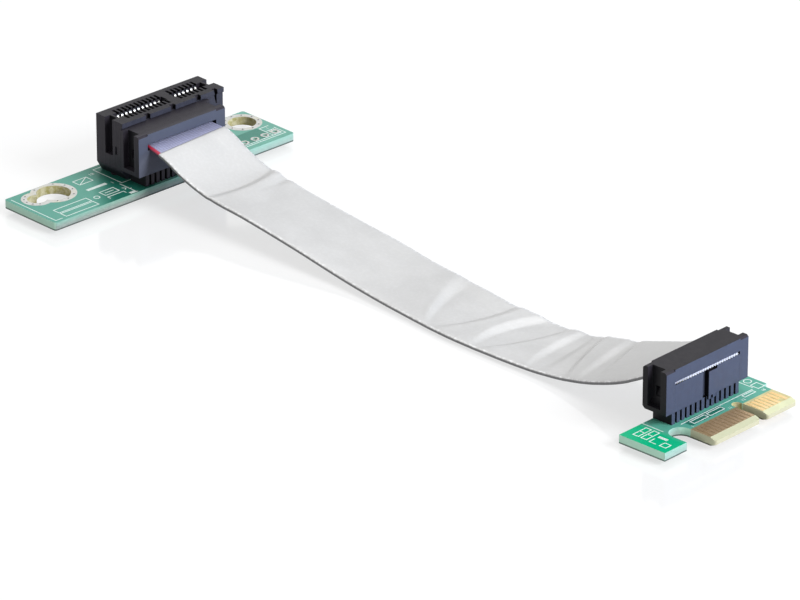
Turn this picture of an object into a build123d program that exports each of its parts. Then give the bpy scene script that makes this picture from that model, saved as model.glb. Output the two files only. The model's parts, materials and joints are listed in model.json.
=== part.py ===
from build123d import *
import math
import os

os.makedirs("parts", exist_ok=True)

# A flexible riser: a slot board and an edge board joined by a flat ribbon in a foil sleeve.
# Millimetres, +Z up, origin at the bottom centre of the two boards with their connectors.
# X runs along the boards, +Y from the edge board to the slot board.

LIFT = 0.9            # height of the solder joints the boards stand on
BOARD_T = 1.6         # thickness of both boards
PITCH = 1.0           # contact pitch of the slot and of the edge fingers
CONTACTS = [i * PITCH for i in range(11)] + [(i + 2) * PITCH for i in range(11, 18)]

# Ribbon of two wires to each pin pitch, and its sleeve
PIN_PITCH, PIN_COUNT = 1.27, 13
RIBBON_W, RIBBON_T = PIN_COUNT * PIN_PITCH - 0.31, 0.55
SLEEVE_SIDE, SLEEVE_WALL = 0.15, 0.105
SLEEVE_W, SLEEVE_T = RIBBON_W + 2 * SLEEVE_SIDE, RIBBON_T + 2 * SLEEVE_WALL

# Ribbon connector, the same on both boards
IDC_LEG, IDC_D = 2.2, 5.3
RIBBON_GAP = 0.3      # beside the ribbon in its slit
IDC_L = RIBBON_W + 2 * (RIBBON_GAP + IDC_LEG)
IDC_BOTTOM, IDC_TOP = 2.4, 10.4
IDC_SLIT = 7.8        # middle of the ribbon above the board
IDC_BASE_IN = IDC_LEG - 0.3
COMB_W, COMB_DEEP = 0.5, 0.75
COMB_BACK = 0.35
TERMINAL_W, TERMINAL_T = 0.44, 0.7
ROW_FRONT, ROW_BACK = 1.35, 3.45
WINDOW_Y0, WINDOW_Y1, WINDOW_DEEP = 1.3, IDC_D - 1.1, IDC_LEG - 0.95
LATCH_LOW, LATCH_HIGH, LATCH_IN, LATCH_GAP = 5.0, 6.6, 0.9, 0.05
MOUTH_DEEP, MOUTH_H = 2.1, 0.35
IDC_FRONT = 0.3       # front of the slot board to its ribbon connector
EDGE_DEPTH = 8.5      # tongue tips to the edge board's ribbon connector
IDC_B_AT = (6.5 - IDC_L / 2, EDGE_DEPTH)

# Slot connector on the slot board, close behind the ribbon connector
SLOT_X = 21.0
IDC_A_AT = (SLOT_X - 0.5, IDC_FRONT)
CARD_END, END_WALL, END_POCKET = 1.3, 0.45, 1.25    # slot, wall and pocket beyond the outer contacts
SLOT_END = CARD_END + END_WALL + END_POCKET
SLOT_LEN = CONTACTS[-1] + 2 * SLOT_END
CONTACT_1 = SLOT_X + SLOT_END
CARD_W, CARD_DEPTH = 1.8, 8.4
KEY_RIB = 1.7
STRIP_W, STRIP_T = 0.44, 0.2
STEM_OFF = 2.05       # contact stem from the slot's middle
CAVITY_W, CAVITY_OUT = STRIP_W + 0.18, STEM_OFF + 0.3
CAVITY_FLOOR = 1.7
TAIL_IN, TAIL_OUT = 1.35, 2.65
TAIL = 0.44           # square tail of every pin
UNDER_POCKET, POCKET_HALF = 1.0, TAIL_OUT + 0.3
SLOT_GAP, SLOT_WALL = 0.05, 0.5
SLOT_Y0 = IDC_FRONT + IDC_D + SLOT_GAP
SLOT_Y1 = SLOT_Y0 + 2 * (POCKET_HALF + SLOT_WALL)
SLOT_MID = (SLOT_Y0 + SLOT_Y1) / 2
SLOT_H = 11.4         # above the board
FOOT_IN, FOOT_H = 1.1, 1.9    # taper at both ends of the housing's bottom
RIM_LIP, RIM_H = 0.3, 0.95    # lip of the front rim over the ribbon connector
PEG_R, PEG_IN = 1.0, 1.7      # locating pegs in the board
PEG_GAP = 0.05
JOINT_GAP = 0.03      # between two solder joints at the finest pitch
JOINT_WIDE, JOINT_TIP = (PIN_PITCH - JOINT_GAP) / 2, 0.28

# Slot board
RIGHT_END, BACK_EDGE = 12.7, 1.65     # board beyond the slot connector
SLOT_BOARD_L, SLOT_BOARD_W = SLOT_X + SLOT_LEN + RIGHT_END, SLOT_Y1 + BACK_EDGE
BOARD_CORNER = 0.5
KEY_BIG_X, KEY_BIG_R = 8.5, 3.2
HOLE_WALL = 0.7       # board behind the keyhole; the round hole stands on the same line
HOLE_Y = SLOT_BOARD_W - KEY_BIG_R - HOLE_WALL
KEY_REACH, KEY_SMALL_R = 4.0, 1.85
KEY_SMALL_X = KEY_BIG_X - KEY_REACH
ROUND_WALL, ROUND_R = 1.1, 2.7
ROUND_X = SLOT_BOARD_L - ROUND_WALL - ROUND_R
LAND = 1.1            # width of the tinned land round a mounting hole
FOIL_T = 0.05         # thickness of lands and fingers
HEADER_PITCH = 2.5
HEADER_IN, HEADER_Y = 2.2, 3.0
HEADER_X = SLOT_BOARD_L - HEADER_IN
HEADER_DRILL_R, HEADER_PAD_R = 0.5, 0.85

# Edge board, in its own frame: contact 1 at x = 0, tongue tips on y = 0
EDGE_AT = (23.97, -142.9)
EDGE_YAW = 3.2
TONGUE_SIDE, KEY_SIDE = 1.1, 0.55     # board beside the outer contacts and beside the key slot
TONGUE_1 = (-TONGUE_SIDE, CONTACTS[10] + KEY_SIDE)
TONGUE_2 = (CONTACTS[11] - KEY_SIDE, CONTACTS[-1] + TONGUE_SIDE)
EDGE_LEFT, EDGE_RIGHT, EDGE_BACK = -10.9, TONGUE_2[1] + 1.1, EDGE_DEPTH + IDC_D - 0.8
TAB_FRONT, TAB_RIGHT = 2.75, -5.3
RELIEF_Y, STEP_Y, KEY_Y = EDGE_DEPTH - 0.5, EDGE_DEPTH - 0.8, EDGE_DEPTH - 1.5
BEVEL_Y, BEVEL_Z = 1.2, 0.42
FINGER_W, FINGER_Y0, FINGER_Y1 = 0.7, 1.25, 4.95

# Route of the ribbon; s runs from the slot board's ribbon exit, z is absolute
EXIT_Z = LIFT + BOARD_T + IDC_SLIT
ROUTE = [(-5.0, EXIT_Z), (1.3, EXIT_Z), (11.5, 6.0), (29.0, 3.4), (56.0, 0.9), (88.0, 0.42),
         (104.0, 1.1), (119.5, 5.8), (127.6, EXIT_Z), (134.6, EXIT_Z)]
SLEEVE_S = (2.7, 127.4)
REACH = 200.0         # half size of the boxes that trim the ribbon, larger than the whole

CENTRE = (SLOT_BOARD_L / 2, -64.37)      # bottom centre of both boards in slot-board coordinates
SLOT_FRAME = Pos(-CENTRE[0], -CENTRE[1], LIFT)
EDGE_FRAME = Pos(EDGE_AT[0] - CENTRE[0], EDGE_AT[1] - CENTRE[1], LIFT) * Rot(0, 0, EDGE_YAW)


def block(x0, x1, y0, y1, z0, z1):
    """A box between two corners."""
    return Pos((x0 + x1) / 2, (y0 + y1) / 2, (z0 + z1) / 2) * Box(x1 - x0, y1 - y0, z1 - z0)


def disc(x, y, r, z0, z1):
    """An upright cylinder between two heights."""
    return Pos(x, y, (z0 + z1) / 2) * Cylinder(r, z1 - z0)


def prism_x(points, x0, x1):
    """A (y, z) outline drawn out along X."""
    face = make_face(Polyline(*[(0, y, z) for y, z in points], close=True))
    return Pos(x0, 0, 0) * extrude(face, amount=x1 - x0, dir=(1, 0, 0))


def prism_y(points, y0, y1):
    """An (x, z) outline drawn out along Y."""
    face = make_face(Polyline(*[(x, 0, z) for x, z in points], close=True))
    return Pos(0, y0, 0) * extrude(face, amount=y1 - y0, dir=(0, 1, 0))


def strip(points, thick):
    """The (y, z) outline of a bent strip that follows the points."""
    left, right = [], []
    for i, (y, z) in enumerate(points):
        normals = []
        for a, b in ((i - 1, i), (i, i + 1)):
            if a >= 0 and b < len(points):
                dy, dz = points[b][0] - points[a][0], points[b][1] - points[a][1]
                n = math.hypot(dy, dz)
                normals.append((-dz / n, dy / n))
        ny, nz = sum(n[0] for n in normals), sum(n[1] for n in normals)
        n2 = ny * ny + nz * nz
        k = thick / 2 * len(normals) / n2
        left.append((y + ny * k, z + nz * k))
        right.append((y - ny * k, z - nz * k))
    return left + right[::-1]


def header_spots():
    return [(HEADER_X - i * HEADER_PITCH, HEADER_Y) for i in range(4)]


def peg_spots():
    return (SLOT_X + PEG_IN, SLOT_X + SLOT_LEN - PEG_IN)


def slot_tails():
    """(x, y) of the slot's solder tails, two staggered rows on each side of the slot."""
    spots = []
    for side in (-1, 1):
        for i, x in enumerate(CONTACTS):
            off = TAIL_IN if i % 2 == 0 else TAIL_OUT
            spots.append((CONTACT_1 + x, SLOT_MID + side * off))
    return spots


def idc_tails():
    """(x, y) of a ribbon connector's pins, in its own frame."""
    first = IDC_L / 2 - PIN_PITCH * (PIN_COUNT - 1) / 2
    return [(first + i * PIN_PITCH, y) for y in (ROW_FRONT, ROW_BACK) for i in range(PIN_COUNT)]


def pin_holes(spots, at=(0, 0)):
    h = TAIL / 2
    return [block(at[0] + x - h, at[0] + x + h, at[1] + y - h, at[1] + y + h, -1, BOARD_T + 1)
            for x, y in spots]


def keyhole(grow, z0, z1):
    return disc(KEY_BIG_X, HOLE_Y, KEY_BIG_R + grow, z0, z1) + \
        disc(KEY_SMALL_X, HOLE_Y, KEY_SMALL_R + grow, z0, z1)


def slot_board():
    board = block(0, SLOT_BOARD_L, 0, SLOT_BOARD_W, 0, BOARD_T)
    board = fillet(board.edges().filter_by(Axis.Z), BOARD_CORNER)
    cuts = [disc(KEY_BIG_X, HOLE_Y, KEY_BIG_R, -1, 3), disc(KEY_SMALL_X, HOLE_Y, KEY_SMALL_R, -1, 3),
            disc(ROUND_X, HOLE_Y, ROUND_R, -1, 3)]
    drill = extrude(RegularPolygon(HEADER_DRILL_R, 12), amount=BOARD_T)
    cuts += [Pos(x, y, 0) * drill for x, y in header_spots()]
    cuts += [disc(x, SLOT_MID, PEG_R + PEG_GAP, -1, 3) for x in peg_spots()]
    cuts += pin_holes(slot_tails()) + pin_holes(idc_tails(), IDC_A_AT)
    return board - cuts


def lands(outer, inner):
    """Tinned lands on both faces of the slot board, kept inside the board's edge."""
    m = 0.12
    out = []
    for z0 in (BOARD_T, -FOIL_T):
        ring = outer(z0, z0 + FOIL_T) - inner(z0 - 1, z0 + 1)
        out.append(ring & block(m, SLOT_BOARD_L - m, m, SLOT_BOARD_W - m, z0, z0 + FOIL_T))
    return out


def keyhole_lands():
    return lands(lambda a, b: keyhole(LAND, a, b), lambda a, b: keyhole(0, a, b))


def round_hole_lands():
    return lands(lambda a, b: disc(ROUND_X, HOLE_Y, ROUND_R + LAND, a, b),
                 lambda a, b: disc(ROUND_X, HOLE_Y, ROUND_R, a, b))


def header_pads():
    """Pads round the holes of an unfitted header; the first pair is square."""
    pads, r = [], HEADER_PAD_R
    for i, (x, y) in enumerate(header_spots()):
        for z0, z1 in ((BOARD_T, BOARD_T + FOIL_T), (-FOIL_T, 0)):
            outline = Rectangle(2 * r, 2 * r) if i == 0 else RegularPolygon(r, 12)
            outline -= RegularPolygon(HEADER_DRILL_R, 12)
            pads.append(Pos(x, y, z0) * extrude(outline, amount=z1 - z0))
    return pads


def slot_housing():
    x0, x1 = SLOT_X, SLOT_X + SLOT_LEN
    z0, z1 = BOARD_T, BOARD_T + SLOT_H
    body = prism_y([(x0 + FOOT_IN, z0), (x1 - FOOT_IN, z0), (x1, z0 + FOOT_H), (x1, z1), (x0, z1),
                    (x0, z0 + FOOT_H)], SLOT_Y0, SLOT_Y1)
    body += block(x0, x1, SLOT_Y0 - RIM_LIP, SLOT_Y0, z1 - RIM_H, z1)
    rim = SLOT_Y0 - RIM_LIP
    first, last = CONTACT_1 + CONTACTS[0], CONTACT_1 + CONTACTS[-1]
    key = CONTACT_1 + CONTACTS[10] + 1.5
    floor = z1 - CARD_DEPTH
    half = CARD_W / 2
    cuts = [block(first - CARD_END, key - KEY_RIB / 2, SLOT_MID - half, SLOT_MID + half, floor, z1 + 1),
            block(key + KEY_RIB / 2, last + CARD_END, SLOT_MID - half, SLOT_MID + half, floor, z1 + 1),
            block(first - 0.9, last + 0.9, SLOT_MID - POCKET_HALF, SLOT_MID + POCKET_HALF, z0 - 1,
                  z0 + UNDER_POCKET)]
    for side in (-1, 1):
        for x in CONTACTS:
            c = CONTACT_1 + x
            ya, yb = sorted((SLOT_MID + side * (half - 0.1), SLOT_MID + side * CAVITY_OUT))
            cuts.append(block(c - CAVITY_W / 2, c + CAVITY_W / 2, ya, yb, z0 + CAVITY_FLOOR, z1 + 1))
            ya, yb = sorted((SLOT_MID + side * (STEM_OFF - STRIP_T / 2),
                             SLOT_MID + side * (STEM_OFF + STRIP_T / 2)))
            cuts.append(block(c - STRIP_W / 2, c + STRIP_W / 2, ya, yb, z0 + 0.5, z0 + CAVITY_FLOOR + 0.5))
    # end pockets on the slot's line, open at the top
    for xa, xb in ((x0 - 1, x0 + END_POCKET), (x1 - END_POCKET, x1 + 1)):
        cuts.append(block(xa, xb, SLOT_MID - 1.0, SLOT_MID + 1.0, z0 + 4.3, z1 + 1))
    # notches in the front rim, a tapered groove near its right end and a mark on the left end
    for i in range(3):
        c = SLOT_X + 6.35 + 6.2 * i
        cuts.append(block(c - 0.55, c + 0.55, rim - 1, rim + 0.75, z1 - RIM_H, z1 + 1))
    cuts.append(prism_y([(x1 - 2.5, z1 + 0.1), (x1 - 1.6, z1 + 0.1), (x1 - 1.5, z1 - 2.9),
                         (x1 - 1.7, z1 - 2.9)], rim - 0.1, SLOT_Y0 + 0.5))
    cuts.append(block(x0 - 1, x0 + 0.25, SLOT_Y0 + 1.2, SLOT_Y0 + 1.7, z0 + 4.8, z0 + 6.4))
    pegs = [disc(x, SLOT_MID, PEG_R, 0.2, z0 + 0.1) for x in peg_spots()]
    return body - cuts + pegs


def slot_contact(x, side, tail):
    """One bowed contact: tail, jog under the housing, stem, spring and lead-in tip."""
    z = BOARD_T
    top = BOARD_T + SLOT_H
    line = [(TAIL_IN if tail == 0 else TAIL_OUT, z + 0.3), (STEM_OFF, z + UNDER_POCKET - 0.3),
            (STEM_OFF, z + 2 * CAVITY_FLOOR), (1.35, top - 4.0), (0.72, top - 1.0), (1.05, top - 0.45)]
    bow = prism_x([(SLOT_MID + side * y, h) for y, h in strip(line, STRIP_T)], x - STRIP_W / 2, x + STRIP_W / 2)
    y = SLOT_MID + side * line[0][0]
    h = TAIL / 2
    return bow + block(x - h, x + h, y - h, y + h, 0, z + 0.35)


def slot_contacts(side):
    return [slot_contact(CONTACT_1 + x, side, i % 2) for i, x in enumerate(CONTACTS)]


def solder_joints(spots, at=(0, 0)):
    """Eight-sided solder cones under a board, each round the end of one pin."""
    rings = []
    for r, z in ((JOINT_TIP, -LIFT), (JOINT_WIDE, 0)):
        turns = [i * math.pi / 4 for i in range(8)]
        rings.append([Vector(r * math.cos(t), r * math.sin(t), z) for t in turns])
    low, top = rings
    quads = [(low[i - 1], low[i], top[i], top[i - 1]) for i in range(8)]
    cone = Solid(Shell([make_face(Polyline(*q, close=True)).face() for q in quads + rings]))
    return [Pos(at[0] + x, at[1] + y, 0) * cone for x, y in spots]


def idc_base(mouth):
    """Lower half of a ribbon connector: comb, front plate with its key slot, latch wedges."""
    z0, plate, top = 0, IDC_BOTTOM, IDC_SLIT - RIBBON_T / 2
    a, b = IDC_LEG, IDC_L - IDC_LEG
    body = block(IDC_BASE_IN, IDC_L - IDC_BASE_IN, COMB_BACK, IDC_D - 0.75, z0, plate)
    body += block(a, b, 0, IDC_D, plate, top)
    mid = IDC_L / 2
    body += block(mid + 0.4, mid + 2.3, 0, COMB_BACK, plate - 0.65, plate)
    cuts = [block(mid - 1.15, mid + 0.4, -1, 0.9, plate - 0.1, top + 1),
            block(mid + 0.3, mid + 2.5, -1, 0.9, top - 0.55, top + 1)]
    for i in range(PIN_COUNT):
        c = mid + (i - (PIN_COUNT - 1) / 2) * PIN_PITCH
        for ya, yb in ((COMB_BACK - 0.5, COMB_BACK + COMB_DEEP),
                       (IDC_D - 0.75 - COMB_DEEP, IDC_D)):
            cuts.append(block(c - COMB_W / 2, c + COMB_W / 2, ya, yb, -1, plate - 0.05 if yb < 2 else plate))
    h = TERMINAL_W / 2
    for x, y in idc_tails():
        cuts.append(block(x - h, x + h, y - TERMINAL_T / 2, y + TERMINAL_T / 2, -1, top + 1))
    ya, yb = (-1, MOUTH_DEEP) if mouth == "front" else (IDC_D - MOUTH_DEEP, IDC_D + 1)
    cuts.append(block(a - 1, b + 1, ya, yb, top - MOUTH_H, top + 1))
    body -= cuts
    # latch wedges that stand in the cover's end windows
    y0, y1 = WINDOW_Y0 + LATCH_IN, WINDOW_Y1 - LATCH_IN
    for sign, x in ((-1, a), (1, b)):
        body += prism_y([(x, LATCH_LOW), (x + sign * 0.85, LATCH_LOW), (x, LATCH_HIGH)], y0, y1)
    return body


def idc_cover(mouth):
    """Upper half of a ribbon connector: bridge over the ribbon and two windowed end legs."""
    low = IDC_SLIT + RIBBON_T / 2
    gap = LATCH_GAP
    body = block(IDC_LEG, IDC_L - IDC_LEG, 0, IDC_D, low, IDC_TOP)
    ya, yb = (-1, MOUTH_DEEP) if mouth == "front" else (IDC_D - MOUTH_DEEP, IDC_D + 1)
    body -= block(0, IDC_L, ya, yb, low - 1, low + MOUTH_H)
    for x0, x1, out in ((0, IDC_LEG, -1), (IDC_L - IDC_LEG, IDC_L, 1)):
        leg = block(x0, x1, 0, IDC_D, IDC_BOTTOM, IDC_TOP)
        outer = x0 if out < 0 else x1
        leg = chamfer(leg.edges().filter_by(Axis.X).group_by(Axis.Z)[-1], 0.35)
        leg = chamfer(leg.edges().filter_by(Axis.X).group_by(Axis.Z)[0].sort_by(Axis.Y)[-1], 0.5)
        xa, xb = (outer - 1, outer + WINDOW_DEEP) if out < 0 else (outer - WINDOW_DEEP, outer + 1)
        leg -= block(xa, xb, WINDOW_Y0, WINDOW_Y1, IDC_BOTTOM + 0.8, IDC_TOP + 1)
        xa, xb = (x0, x1 + 1) if out < 0 else (x0 - 1, x1)
        leg -= block(xa, xb, WINDOW_Y0 + LATCH_IN - gap, WINDOW_Y1 - LATCH_IN + gap,
                     LATCH_LOW - 2 * gap, LATCH_HIGH + 4 * gap)
        body += leg
    return body


def idc_terminals():
    """Forked terminals; each stands on the board, its tail goes through it."""
    out = []
    h = TERMINAL_W / 2
    top = IDC_SLIT - RIBBON_T / 2
    for x, y in idc_tails():
        a, b = y - TERMINAL_T / 2, y + TERMINAL_T / 2
        fork = prism_x([(a, 0), (b, 0), (b, top - 0.5), (y + 0.2, top), (y, top - 0.9),
                        (y - 0.2, top), (a, top - 0.5)], x - h, x + h)
        t = TAIL / 2
        out.append(fork + block(x - t, x + t, y - t, y + t, -BOARD_T, 0.1))
    return out


def edge_board():
    outline = Polyline((EDGE_LEFT, EDGE_BACK), (EDGE_LEFT, TAB_FRONT), (TAB_RIGHT, TAB_FRONT),
                       (TAB_RIGHT, RELIEF_Y), (TONGUE_1[0], RELIEF_Y), (TONGUE_1[0], 0),
                       (TONGUE_2[1], 0), (TONGUE_2[1], STEP_Y), (EDGE_RIGHT, STEP_Y),
                       (EDGE_RIGHT, EDGE_BACK), close=True)
    board = extrude(make_face(outline), amount=BOARD_T)
    upright = board.edges().filter_by(Axis.Z)
    relief = [e for e in upright if abs(e.center().Y - RELIEF_Y) < 0.01]
    board = fillet(relief, (TONGUE_1[0] - TAB_RIGHT) / 2 - 0.01)
    key_mid, key_r = (TONGUE_1[1] + TONGUE_2[0]) / 2, (TONGUE_2[0] - TONGUE_1[1]) / 2
    board -= block(TONGUE_1[1], TONGUE_2[0], -1, KEY_Y - key_r, -1, 3)
    board -= disc(key_mid, KEY_Y - key_r, key_r, -1, 3)
    tips = [e for e in board.edges().filter_by(Axis.Z) if abs(e.center().Y) < 0.01]
    board = fillet(tips, 0.5)
    t, far = BOARD_T, 30
    for wedge in ([(-1, t + 0.5), (-0.01, t + 0.5), (BEVEL_Y, t), (0, t - BEVEL_Z), (-1, t - BEVEL_Z)],
                  [(-1, -0.5), (-0.01, -0.5), (BEVEL_Y, 0), (0, BEVEL_Z), (-1, BEVEL_Z)]):
        board -= prism_x(wedge, TONGUE_1[0] - 1, TONGUE_2[1] + 0.4)
    return board - pin_holes(idc_tails(), IDC_B_AT)


def fingers(top):
    """Gold contact fingers of one face; one finger is short, for presence detection."""
    short = 16 if top else 0
    z0, z1 = (BOARD_T, BOARD_T + FOIL_T) if top else (-FOIL_T, 0)
    out = []
    for i, x in enumerate(CONTACTS):
        y0 = FINGER_Y0 + (1.0 if i == short else 0)
        out.append(block(x - FINGER_W / 2, x + FINGER_W / 2, y0, FINGER_Y1, z0, z1))
    return out


def ribbon_line():
    """Plan position of the ribbon: its start at the slot board and its heading."""
    start = SLOT_FRAME * Pos(IDC_A_AT[0] + IDC_L / 2, IDC_A_AT[1], 0)
    end = EDGE_FRAME * Pos(IDC_B_AT[0] + IDC_L / 2, IDC_B_AT[1] + IDC_D / 2, 0)
    a, b = start.position, end.position
    return (a.X, a.Y), math.atan2(b.Y - a.Y, b.X - a.X)


def route_pieces():
    """Straight runs and tangent arcs of the route in (s, z)."""
    pieces, radii, at = [], [], ROUTE[0]
    for p, q, r in zip(ROUTE, ROUTE[1:], ROUTE[2:]):
        a = math.atan2(q[1] - p[1], q[0] - p[0])
        b = math.atan2(r[1] - q[1], r[0] - q[0])
        run = min(math.dist(p, q), math.dist(q, r))
        reach = 0.45 * run
        radius = reach / math.tan(abs(b - a) / 2)
        radii.append(radius)
        sign = 1 if b > a else -1
        t0 = (q[0] - reach * math.cos(a), q[1] - reach * math.sin(a))
        t1 = (q[0] + reach * math.cos(b), q[1] + reach * math.sin(b))
        centre = (t0[0] - sign * radius * math.sin(a), t0[1] + sign * radius * math.cos(a))
        pieces.append(("line", at, t0, a))
        pieces.append(("arc", centre, radius, sign, a, b))
        at = t1
    last = ROUTE[-1]
    pieces.append(("line", at, last, math.atan2(last[1] - at[1], last[0] - at[0])))
    return pieces, radii


def route_length(pieces):
    return sum(math.dist(p[1], p[2]) if p[0] == "line" else p[2] * abs(p[5] - p[4]) for p in pieces)


def side_edges(pieces, off):
    """Edges of the route moved sideways, in the X-Z plane."""
    edges = []
    for p in pieces:
        if p[0] == "line":
            n = (-math.sin(p[3]) * off, math.cos(p[3]) * off)
            edges.append(Line((p[1][0] + n[0], 0, p[1][1] + n[1]), (p[2][0] + n[0], 0, p[2][1] + n[1])))
        else:
            _, c, radius, sign, a, b = p
            r = radius - sign * off
            spots = [(c[0] + sign * r * math.sin(t), 0, c[1] - sign * r * math.cos(t))
                     for t in (a, (a + b) / 2, b)]
            edges.append(ThreePointArc(*spots))
    return edges


def flat_cord(width, thick):
    """A flat cord along the route, its width across the route's plane."""
    pieces, _ = route_pieces()
    low, high = side_edges(pieces, -thick / 2), side_edges(pieces, thick / 2)
    caps = [Line(low[0] @ 0, high[0] @ 0), Line(low[-1] @ 1, high[-1] @ 1)]
    face = make_face(low + high + caps)
    solid = Pos(0, width / 2, 0) * extrude(face, amount=width, dir=(0, -1, 0))
    (x, y), heading = ribbon_line()
    return Pos(x, y, 0) * Rot(0, 0, math.degrees(heading)) * solid


def across(s0, s1):
    """A box across the ribbon's line between two values of s."""
    (x, y), heading = ribbon_line()
    return Pos(x, y, 0) * Rot(0, 0, math.degrees(heading)) * block(s0, s1, -REACH, REACH, -REACH, REACH)


def ribbon():
    """The cable, cut flush with both connectors."""
    cord = flat_cord(RIBBON_W, RIBBON_T)
    back = SLOT_FRAME * block(-REACH, REACH, IDC_A_AT[1] + IDC_D, REACH, -REACH, REACH)
    front = EDGE_FRAME * block(-REACH, REACH, -REACH, IDC_B_AT[1], -REACH, REACH)
    return cord - back - front


def sleeve(core):
    outer = flat_cord(SLEEVE_W, SLEEVE_T) & across(*SLEEVE_S)
    return outer - core


def save(name, shapes, frame=Pos(0, 0, 0)):
    shapes = shapes if isinstance(shapes, list) else [shapes]
    solids = [s for shape in shapes for s in (frame * shape).solids()]
    part = solids[0] if len(solids) == 1 else Compound(children=solids)
    export_step(part, f"parts/{name}.step")
    return part


IDC_A = SLOT_FRAME * Pos(IDC_A_AT[0], IDC_A_AT[1], BOARD_T)
IDC_B = EDGE_FRAME * Pos(IDC_B_AT[0], IDC_B_AT[1], BOARD_T)

save("slot_board", slot_board(), SLOT_FRAME)
save("keyhole_lands", keyhole_lands(), SLOT_FRAME)
save("round_hole_lands", round_hole_lands(), SLOT_FRAME)
save("header_pads", header_pads(), SLOT_FRAME)
save("slot_housing", slot_housing(), SLOT_FRAME)
save("slot_contacts_front", slot_contacts(-1), SLOT_FRAME)
save("slot_contacts_back", slot_contacts(1), SLOT_FRAME)
save("slot_solder_joints", solder_joints(slot_tails()), SLOT_FRAME)
save("ribbon_base_a", idc_base("front"), IDC_A)
save("ribbon_cover_a", idc_cover("front"), IDC_A)
save("ribbon_terminals_a", idc_terminals(), IDC_A)
save("ribbon_solder_joints_a", solder_joints(idc_tails(), IDC_A_AT), SLOT_FRAME)
save("edge_board", edge_board(), EDGE_FRAME)
save("edge_fingers_top", fingers(True), EDGE_FRAME)
save("edge_fingers_bottom", fingers(False), EDGE_FRAME)
save("ribbon_base_b", idc_base("back"), IDC_B)
save("ribbon_cover_b", idc_cover("back"), IDC_B)
save("ribbon_terminals_b", idc_terminals(), IDC_B)
save("ribbon_solder_joints_b", solder_joints(idc_tails(), IDC_B_AT), EDGE_FRAME)

core = ribbon()
save("ribbon_cable", core)
save("foil_sleeve", sleeve(core))

pieces, radii = route_pieces()
length = route_length(pieces)
whole = flat_cord(RIBBON_W, RIBBON_T)
print("arc radii", [round(r, 1) for r in radii])
print("route length", round(length, 2), "volume ratio",
      round(whole.volume / (RIBBON_W * RIBBON_T * length), 4))
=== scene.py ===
import json
import math
from bisect import bisect_right

import bmesh
import bpy
from mathutils import Matrix, Vector

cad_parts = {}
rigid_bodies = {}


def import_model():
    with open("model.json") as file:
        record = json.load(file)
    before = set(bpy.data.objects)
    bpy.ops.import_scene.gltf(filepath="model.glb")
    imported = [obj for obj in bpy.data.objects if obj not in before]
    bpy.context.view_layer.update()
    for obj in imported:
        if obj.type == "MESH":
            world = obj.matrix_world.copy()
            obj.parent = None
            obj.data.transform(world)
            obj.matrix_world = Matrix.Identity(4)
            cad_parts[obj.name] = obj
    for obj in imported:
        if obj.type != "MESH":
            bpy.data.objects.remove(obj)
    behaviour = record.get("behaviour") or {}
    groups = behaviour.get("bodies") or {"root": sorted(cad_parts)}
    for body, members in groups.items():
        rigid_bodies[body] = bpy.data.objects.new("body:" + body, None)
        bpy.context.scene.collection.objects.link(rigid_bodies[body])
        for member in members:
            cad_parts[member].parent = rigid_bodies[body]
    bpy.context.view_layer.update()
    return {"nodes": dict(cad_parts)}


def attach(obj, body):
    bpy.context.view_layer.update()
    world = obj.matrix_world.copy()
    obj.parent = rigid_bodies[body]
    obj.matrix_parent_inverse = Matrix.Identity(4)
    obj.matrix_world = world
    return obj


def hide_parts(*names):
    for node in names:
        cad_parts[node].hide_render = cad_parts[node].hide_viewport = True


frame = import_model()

bl_info = {
    "name": "Flexible riser card",
    "version": (1, 0, 0),
    "blender": (4, 5, 0),
    "location": "View3D > Sidebar > Riser",
    "description": "Dresses a slot board, an edge board and the foil-sleeved ribbon between them",
    "category": "Object",
}

MM = 0.001
# The whole part's frame, in metres: where the ribbon leaves the slot board's connector and the middle of
# the edge board's, each board's own corner on its solder joints, and the edge board's turn
EXIT = Vector((0.00175, 0.06467, 0))
FAR_MIDDLE = Vector((0.000487, -0.067035, 0))
SLOT_ORIGIN = Vector((-0.02935, 0.06437, 0.0009))
EDGE_ORIGIN = Vector((-0.00538, -0.07853, 0.0009))
EDGE_YAW = math.radians(3.2)
# Points of the ribbon's route: distance from that exit, and height
ROUTE = [(-0.0050, 0.0103), (0.0013, 0.0103), (0.0115, 0.0060), (0.0290, 0.0034), (0.0560, 0.0009),
         (0.0880, 0.00042), (0.1040, 0.0011), (0.1195, 0.0058), (0.1276, 0.0103), (0.1346, 0.0103)]
# Places and heights on the boards, in millimetres from each board's corner; holes are (x, y, radius)
BOARD_TOP, JOINT_HEIGHT = 1.6, 0.9
NUMBER_INK, LINE_INK, VIA_RIMS, VIA_BORES = 0.012, 0.014, 1.665, 1.672
KEYHOLE_BIG, KEYHOLE_SMALL, ROUND_HOLE = (8.5, 10.3, 3.2), (4.5, 10.3, 1.85), (54.9, 10.3, 2.7)
KEY_SLOT_END = (11.5, 6.05, 0.95)
FIRST_CONTACT, SLOT_MIDDLE, TAIL_ROWS = 24.0, 9.1, (1.35, 2.65)
CONTACTS = [*range(11), *range(13, 20)]
CONNECTOR_A, CONNECTOR_B, CONNECTOR_DEPTH = (20.5, 0.3), (-4.1, 8.5), 5.3
FIRST_PIN, PIN_PITCH, PIN_COUNT, PIN_ROWS = 2.98, 1.27, 13, (1.35, 3.45)
RIBBON_MIDDLE, RIBBON_HEIGHT = 6.5, 9.4
# Points round the ribbon for each wire and round the sleeve, rings along each, and how far the ribbon's
# ends stay inside the connectors' faces
WIRE_SPOTS, RIBBON_STEPS, SLEEVE_SPOTS, SLEEVE_STEPS, SHY = 5, 320, 40, 620, 0.005
# The sleeve's section: shares of the half width where its fold begins and its lap ends, and the lap's step
FOLD_START, LAP_EDGE, LAP_STEP = 0.975, 0.3, 0.84
# Where the edge board's first tongue is browner, from the full tone's end to none
TONGUE_FADE = (12.4, 10.6)
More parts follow.
